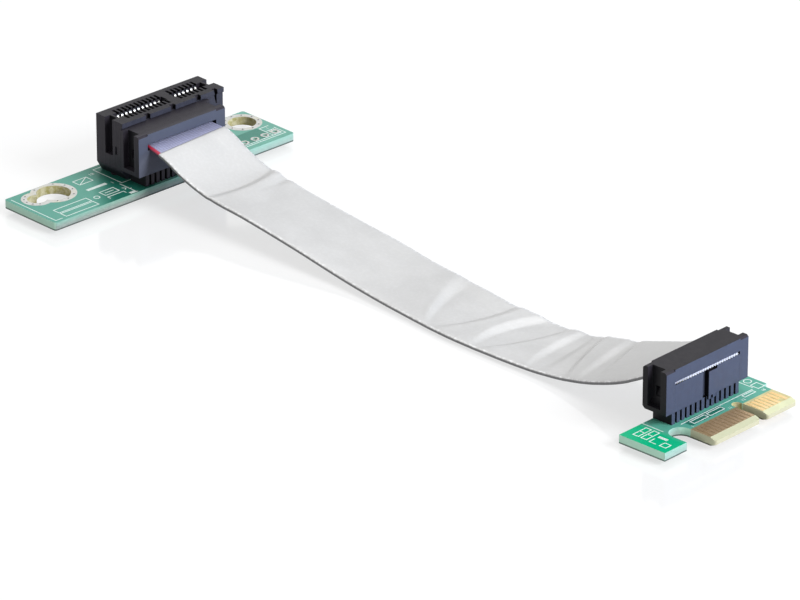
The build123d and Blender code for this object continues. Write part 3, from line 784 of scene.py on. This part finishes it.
def sleeve_piece(strip):
    """A flattened foil tube with a lapped seam below, following the ribbon and its creases."""
    s = bpy.context.scene.riser_cable
    half, tall = s.sleeve_width / 2, s.sleeve_thick / 2
    spots = []
    for i in range(SLEEVE_SPOTS + 1):
        t = -1 + 2 * i / SLEEVE_SPOTS
        # The points crowd at the rims, where the foil folds round
        u = t * (1.9 - 0.9 * abs(t)) if abs(t) > 0.9 else t * 0.991 / 0.9
        fold = math.sqrt(max(0.0, 1 - max(0.0, (abs(u) - FOLD_START) / (1 - FOLD_START)) ** 2))
        spots.append((u, tall * fold))
    ring = spots + [(u, -h * (LAP_STEP if u < LAP_EDGE else 1.0)) for u, h in reversed(spots[1:-1])]
    long = s.sleeve_end - s.sleeve_start
    at = [s.sleeve_start + long * i / SLEEVE_STEPS for i in range(SLEEVE_STEPS + 1)]
    rings = []
    for a in at:
        # The end at the slot board is cut at a slant, which fades over 12 mm
        slant = -0.0003 * max(0.0, 1 - (a - s.sleeve_start) / 0.012)
        rings.append([strip.place(a + slant * (1 + u), u, h, half) for u, h in ring])
    return tube("foil_wrap", ring, at, rings)


# ---------- printed outlines


def ink_line(points, width, height, closed=False):
    """Corner points and faces of a thin raised line along flat points."""
    count = len(points)
    left, right = [], []
    for i, p in enumerate(points):
        before = points[i - 1] if closed or i > 0 else None
        after = points[(i + 1) % count] if closed or i < count - 1 else None
        normals = []
        for a, b in ((before, p), (p, after)):
            if a is not None and b is not None:
                d = Vector((b[0] - a[0], b[1] - a[1])).normalized()
                normals.append(Vector((-d.y, d.x)))
        n = sum(normals, Vector((0, 0)))
        n = n * (len(normals) / max(n.length_squared, 1e-9)) * (width / 2)
        left.append((p[0] + n.x, p[1] + n.y))
        right.append((p[0] - n.x, p[1] - n.y))
    verts, faces = [], []
    for l, r in zip(left, right):
        verts += [(*l, 0), (*r, 0), (*r, height), (*l, height)]
    spans = count if closed else count - 1
    for i in range(spans):
        a, b = i * 4, ((i + 1) % count) * 4
        faces += [(a + 3, a + 2, b + 2, b + 3), (a + 1, a, b, b + 1), (a, a + 3, b + 3, b),
                  (a + 2, a + 1, b + 1, b + 2)]
    if not closed:
        e = (count - 1) * 4
        faces += [(0, 1, 2, 3), (e + 3, e + 2, e + 1, e)]
    return verts, faces


def stroke(*points):
    return points, False


def box(x0, x1, y0, y1):
    return [(x0, y0), (x1, y0), (x1, y1), (x0, y1)], True


def circle(x, y, r, count=24):
    turns = [2 * math.pi * i / count for i in range(count)]
    return [(x + r * math.cos(a), y + r * math.sin(a)) for a in turns], True


def slot_outlines():
    """Plain outlines round the header and the connectors of the slot board, as (points, closed)."""
    lines = [stroke((46.9, 1.35), (57.75, 1.35), (57.75, 4.65)),
             stroke((46.9, 1.95), (57.2, 1.95), (57.2, 4.15), (55.45, 4.15)),
             stroke((55.2, 1.95), (55.2, 5.9), (57.5, 5.9)),
             box(20.45, 46.55, 5.1, 13.1), stroke((20.1, 0.35), (19.85, 0.35), (19.85, 5.0)),
             stroke((18.9, 2.4), (19.5, 2.9), (18.9, 3.4)), circle(12.9, 3.4, 0.55),
             box(3.4, 11.2, 0.9, 2.5), box(3.4, 11.2, 2.9, 4.5), box(14.6, 17.9, 2.9, 4.7),
             stroke((15.2, 3.8), (17.3, 3.8)), stroke((14.4, 1.3), (14.4, 2.1), (18.2, 2.1), (18.2, 1.3)),
             stroke((19.9, 2.2), (20.3, 2.2)), stroke((0.8, 13.2), (0.8, 0.8), (2.4, 0.8)),
             box(14.2, 17.4, 9.6, 11.6), stroke((14.2, 9.6), (17.4, 11.6))]
    lines += [stroke((13.6, 6.6 + 0.15 * i), (18.2, 6.6 + 0.15 * i)) for i in range(5)]
    return lines + [stroke((18.5, 0.35 + 0.15 * i), (19.7, 0.35 + 0.15 * i)) for i in range(5)]


def edge_outlines():
    """The same for the edge board."""
    lines = [stroke((-5.0, 8.2), (-5.0, 13.0)), box(-9.4, -8.0, 3.9, 5.3), stroke((18.3, 8.3), (18.3, 12.4)),
             circle(19.6, 10.6, 0.7), stroke((-0.8, 7.95), (17.8, 7.95)), box(1.0, 4.6, 6.5, 7.5),
             box(5.2, 8.8, 6.5, 7.5), box(14.6, 17.4, 6.9, 7.6), box(-9.2, -5.8, 8.4, 9.6),
             box(-9.2, -5.8, 10.2, 11.4), stroke((-7.5, 8.4), (-7.5, 9.6)),
             stroke((-7.5, 10.2), (-7.5, 11.4)), stroke((-9.4, 6.1), (-9.4, 7.6), (-7.9, 7.6)),
             box(18.7, 20.3, 7.4, 9.2)]
    return lines + [stroke((-7.2 + 0.15 * i, 5.6), (-7.2 + 0.15 * i, 7.6)) for i in range(4)]


def number_mesh(text, x, y, tall):
    """Points and faces of a plain printed number, in board millimetres."""
    curve = bpy.data.curves.new("number", "FONT")
    curve.body, curve.size, curve.extrude = text, tall, NUMBER_INK / 2
    curve.align_x, curve.align_y = "CENTER", "CENTER"
    curve.resolution_u = 3
    points, faces = read_curve(curve)
    return [tuple(point + Vector((x, y, NUMBER_INK / 2))) for point in points], faces


def legend_piece(name, place, lines, numbers):
    """All the printed outlines and numbers of one board as one mesh."""
    width = bpy.context.scene.riser_board.legend_width * 1000
    verts, faces = [], []
    parts = [ink_line(points, width, LINE_INK, closed) for points, closed in lines]
    parts += [number_mesh(*number) for number in numbers]
    for more, around in parts:
        base = len(verts)
        verts += [place(x, y, BOARD_TOP + z) for x, y, z in more]
        faces += [tuple(base + i for i in face) for face in around]
    return add_mesh(name, outward(mesh_of(name, verts, faces)))


# ---------- geometry nodes


class Tree:
    """A Geometry Nodes tree with named inputs, built from the left to the right."""

    def __init__(self, name, **inputs):
        self.tree = bpy.data.node_groups.new(name, "GeometryNodeTree")
        face = self.tree.interface
        face.new_socket("Geometry", in_out="INPUT", socket_type="NodeSocketGeometry")
        self.ids = {}
        for key, (kind, value) in inputs.items():
            made = face.new_socket(key, in_out="INPUT", socket_type=kind)
            made.default_value = value
            self.ids[key] = made.identifier
        face.new_socket("Geometry", in_out="OUTPUT", socket_type="NodeSocketGeometry")
        self.source = self.tree.nodes.new("NodeGroupInput")
        self.end = self.tree.nodes.new("NodeGroupOutput")

    def given(self, name):
        return Wire(self.tree, self.source.outputs[name])

    def add(self, kind, out=0, settings=(), **inputs):
        return node(self.tree, kind, out, settings, **inputs)

    def close(self, geometry, material):
        real = self.add("GeometryNodeRealizeInstances", Geometry=geometry)
        done = self.add("GeometryNodeSetMaterial", Geometry=real, Material=material)
        self.tree.links.new(done.socket, self.end.inputs[0])


def from_tree(name, points, tree, values=()):
    """Runs a tree on a cloud of points and returns the result as a plain mesh object."""
    holder = add_mesh(name + "_points", mesh_of(name + "_points", points, []))
    modifier = holder.modifiers.new("nodes", "NODES")
    modifier.node_group = tree.tree
    for key, value in dict(values).items():
        modifier[tree.ids[key]] = value
    seen = holder.evaluated_get(bpy.context.evaluated_depsgraph_get())
    mesh = bpy.data.meshes.new_from_object(seen)
    mesh.name = name
    holder.modifiers.clear()
    bpy.data.objects.remove(holder)
    return add_mesh(name, mesh)


def joint_tree(material):
    """A round solder fillet, concave towards a small pin end, hung under each point."""
    tree = Tree("solder_fillet", Wide=("NodeSocketFloat", 0.00062), Tip=("NodeSocketFloat", 0.00024),
                Height=("NodeSocketFloat", 0.0009))
    cone = tree.add("GeometryNodeMeshCone", Vertices=12, Side_Segments=5, Radius_Top=tree.given("Wide"),
                    Radius_Bottom=tree.given("Tip"), Depth=tree.given("Height"))
    x, y, z = split(tree.add("GeometryNodeInputPosition"))
    t = z / tree.given("Height")
    waist = (t * math.pi).math("SINE") * -0.34 + 1.0
    shaped = tree.add("GeometryNodeSetPosition", Geometry=cone,
                      Position=join(x * waist, y * waist, z))
    spots = tree.add("GeometryNodeInstanceOnPoints", Points=tree.given("Geometry"), Instance=shaped)
    tree.close(spots, material)
    return tree


def stud_tree(name, material, sides):
    """A short round stud on each point, such as a via rim or the end of a wire."""
    tree = Tree(name, Radius=("NodeSocketFloat", 0.0002), Height=("NodeSocketFloat", 0.00003),
                Sides=("NodeSocketInt", sides), Turn=("NodeSocketVector", (0.0, 0.0, 0.0)))
    stud = tree.add("GeometryNodeMeshCylinder", Vertices=tree.given("Sides"), Radius=tree.given("Radius"),
                    Depth=tree.given("Height"))
    spots = tree.add("GeometryNodeInstanceOnPoints", Points=tree.given("Geometry"), Instance=stud,
                     Rotation=tree.given("Turn"))
    tree.close(spots, material)
    return tree


def pin_spots():
    """Places of every solder joint, at its tip on the floor."""
    spots = []
    for side in (-1, 1):
        for i, x in enumerate(CONTACTS):
            y = SLOT_MIDDLE + side * TAIL_ROWS[i % 2]
            spots.append(slot_place(FIRST_CONTACT + x, y, -JOINT_HEIGHT))
    for place, (x, y) in ((slot_place, CONNECTOR_A), (edge_place, CONNECTOR_B)):
        for row in PIN_ROWS:
            for i in range(PIN_COUNT):
                spots.append(place(x + FIRST_PIN + i * PIN_PITCH, y + row, -JOINT_HEIGHT))
    return spots


def land_vias(height):
    """Small plated holes in the lands of the mounting holes, leaving out those past the board's edges."""
    spots = []
    rounds = ((ROUND_HOLE, 3.25, 10, 14, 36), (KEYHOLE_BIG, 3.75, 8, -120, 34.3),
              (KEYHOLE_SMALL, 2.4, 5, 115, 32))
    for (x, y, _), radius, count, first, apart in rounds:
        turns = [math.radians(first + apart * i) for i in range(count)]
        spots += [(x + radius * math.cos(t), y + radius * math.sin(t)) for t in turns]
    return [slot_place(x, y, height) for x, y in spots if 0.4 < y < 13.8 and x < 58.3]


# ---------- operators, one for each group of pieces


class RISER_OT_boards(bpy.types.Operator):
    """Gives both boards their solder mask, cut edges, lands and gold fingers"""
    bl_idname = "riser.boards"
    bl_label = "Dress the boards"

    def execute(self, context):
        dress(board_finish("slot_board_mask", SLOT_ORIGIN, 0.0, [KEYHOLE_BIG, KEYHOLE_SMALL, ROUND_HOLE],
                           [(46.6, 55.0, 1.9, 6.4)], pale_end=(44.0, 48.0)), "slot_board")
        dress(board_finish("edge_board_mask", EDGE_ORIGIN, EDGE_YAW, [KEY_SLOT_END],
                           [(-9.8, -7.4, 3.6, 12.0), (0.0, 9.0, 6.2, 8.2)],
                           pale_end=(-12.0, -11.0), tongues=True), "edge_board")
        dress(tin_finish(), "keyhole_lands", "round_hole_lands", "header_pads")
        dress(gold_finish(), "edge_fingers_top", "edge_fingers_bottom")
        return {"FINISHED"}


class RISER_OT_connectors(bpy.types.Operator):
    """Gives the moulded connectors and their contacts their finishes"""
    bl_idname = "riser.connectors"
    bl_label = "Dress the connectors"

    def execute(self, context):
        dress(plastic_finish(), "slot_housing", "ribbon_base_a", "ribbon_cover_a", "ribbon_base_b",
              "ribbon_cover_b")
        dress(contact_finish(), "slot_contacts_front", "slot_contacts_back", "ribbon_terminals_a",
              "ribbon_terminals_b")
        return {"FINISHED"}


class RISER_OT_solder(bpy.types.Operator):
    """Makes the round solder joints under both boards"""
    bl_idname = "riser.solder"
    bl_label = "Make the solder joints"

    def execute(self, context):
        tin = bpy.data.materials["tinned_solder"]
        piece = from_tree("solder_fillets", pin_spots(), joint_tree(tin))
        settle(piece, tin)
        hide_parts("slot_solder_joints", "ribbon_solder_joints_a", "ribbon_solder_joints_b")
        return {"FINISHED"}


class RISER_OT_legend(bpy.types.Operator):
    """Prints the plain outlines and pin numbers, and adds the plated holes"""
    bl_idname = "riser.legend"
    bl_label = "Print the outlines"

    def execute(self, context):
        ink = legend_finish()
        tin, dark = bpy.data.materials["tinned_solder"], bpy.data.materials["moulded_nylon"]
        numbers = [("1", 56.5, 5.05, 1.0), ("1", 19.3, 6.4, 1.2), ("18", 18.9, 11.8, 1.2)]
        piece = legend_piece("slot_board_legend", slot_place, slot_outlines(), numbers)
        settle(piece, ink)
        numbers = [("1", 0.0, 6.0, 0.9), ("11", 9.7, 6.0, 0.9), ("12", 13.6, 6.4, 0.9),
                   ("18", 18.9, 6.4, 0.9)]
        piece = legend_piece("edge_board_legend", edge_place, edge_outlines(), numbers)
        settle(piece, ink)
        radius = context.scene.riser_board.via
        rims, bores = stud_tree("via_rims", tin, 14), stud_tree("via_bores", dark, 10)
        piece = from_tree("land_vias", land_vias(VIA_RIMS), rims, {"Radius": radius})
        settle(piece, tin)
        piece = from_tree("via_bores", land_vias(VIA_BORES), bores, {"Radius": radius * 0.55})
        settle(piece, dark)
        return {"FINISHED"}


class RISER_OT_cable(bpy.types.Operator):
    """Makes the flat ribbon, its bare wire ends and the foil sleeve round it"""
    bl_idname = "riser.cable"
    bl_label = "Make the ribbon and sleeve"

    def execute(self, context):
        s = context.scene.riser_cable
        strip = Strip()
        ribbon = settle(ribbon_piece(strip), ribbon_finish())
        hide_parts("ribbon_cable")
        sleeve = settle(sleeve_piece(strip), foil_finish())
        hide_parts("foil_sleeve")
        metal = bpy.data.materials["plated_contacts"]
        ends = []
        for i in range(s.conductors):
            # On the connector's front face, a hundredth of a millimetre clear
            x = RIBBON_MIDDLE + (i + 0.5 - s.conductors / 2) * s.width * 1000 / s.conductors
            ends.append(edge_place(x, CONNECTOR_B[1] - 0.01, RIBBON_HEIGHT))
        tree = stud_tree("wire_ends", metal, 8)
        piece = from_tree("bare_wire_ends", ends, tree, {"Radius": 0.00013, "Height": 0.00006,
                                                         "Turn": (math.pi / 2, 0.0, EDGE_YAW)})
        settle(piece, metal)
        [tuple(p) for p in strip.line]
        return {"FINISHED"}


class RISER_OT_stage(bpy.types.Operator):
    """Sets the floor, the soft lights and the camera"""
    bl_idname = "riser.stage"
    bl_label = "Set the stage"

    def execute(self, context):
        s, scene = context.scene.riser_stage, context.scene
        work = bmesh.new()
        bmesh.ops.create_grid(work, x_segments=8, y_segments=8, size=3.0)
        mesh = bpy.data.meshes.new("floor")
        work.to_mesh(mesh)
        work.free()
        floor = add_mesh("floor", mesh)
        made, tree, shader = finish("pale_floor", Roughness=0.10, IOR=1.40)
        plug(tree, shader, Base_Color=(*s.floor, 1.0), Emission_Color=(1.0, 1.0, 1.0, 1.0),
             Emission_Strength=behind_everything(tree) * 0.66)
        floor.data.materials.append(made)
        for name, place, size, power, tint in (
                ("overhead", (0.25, 0.35, 1.0), 0.9, s.overhead, (1.0, 0.99, 0.98)),
                ("front_key", (0.25, -0.85, 0.60), 0.45, s.key, (0.95, 0.97, 1.0)),
                ("low_cool", (0.75, -0.75, 0.14), 0.5, s.low, (0.60, 0.76, 1.0)),
                ("west", (-1.0, -0.05, 0.16), 0.4, s.west, (1.0, 1.0, 1.0))):
            lamp = bpy.data.lights.new(name, "AREA")
            lamp.shape, lamp.size, lamp.energy, lamp.color = "SQUARE", size, power, tint
            holder = bpy.data.objects.new(name, lamp)
            holder.location = place
            holder.rotation_euler = (-Vector(place)).to_track_quat("-Z", "Y").to_euler()
            scene.collection.objects.link(holder)
        world = bpy.data.worlds.new("studio")
        scene.world = world
        world.use_nodes = True
        tree = world.node_tree
        plug(tree, tree.nodes["Background"], Color=(1, 1, 1, 1),
             Strength=behind_everything(tree) * (1.0 - s.sky) + s.sky)
        lens = bpy.data.cameras.new("camera")
        lens.lens, lens.sensor_width = 294.5, 36.0
        lens.clip_start, lens.clip_end = 0.05, 20.0
        camera = bpy.data.objects.new("camera", lens)
        camera.location = (-0.72525, -0.75593, 0.49120)
        camera.rotation_euler = (math.radians(90 - 25.141), 0.0, -math.radians(43.62))
        scene.collection.objects.link(camera)
        scene.camera = camera
        scene.view_settings.view_transform = "Standard"
        return {"FINISHED"}


class RISER_PT_panel(bpy.types.Panel):
    """Lists the steps and the sizes they read"""
    bl_idname = "RISER_PT_panel"
    bl_label = "Riser card"
    bl_space_type = "VIEW_3D"
    bl_region_type = "UI"
    bl_category = "Riser"

    def draw(self, context):
        for step in STEPS:
            self.layout.operator(step.bl_idname)
        for key in SETTINGS:
            group = getattr(context.scene, key)
            box = self.layout.box()
            for name in group.__annotations__:
                box.prop(group, name)


STEPS = (RISER_OT_stage, RISER_OT_boards, RISER_OT_connectors, RISER_OT_cable, RISER_OT_solder,
         RISER_OT_legend)
SETTINGS = {"riser_cable": RiserCableSettings, "riser_board": RiserBoardSettings,
            "riser_connector": RiserConnectorSettings, "riser_stage": RiserStageSettings}


def register():
    for kind in (*SETTINGS.values(), *STEPS, RISER_PT_panel):
        bpy.utils.register_class(kind)
    for key, kind in SETTINGS.items():
        setattr(bpy.types.Scene, key, bpy.props.PointerProperty(type=kind))


def unregister():
    for key in SETTINGS:
        delattr(bpy.types.Scene, key)
    for kind in reversed((*SETTINGS.values(), *STEPS, RISER_PT_panel)):
        bpy.utils.unregister_class(kind)


def main():
    register()
    for step in STEPS:
        group, name = step.bl_idname.split(".")
        getattr(getattr(bpy.ops, group), name)()


if __name__ == "__main__":
    main()
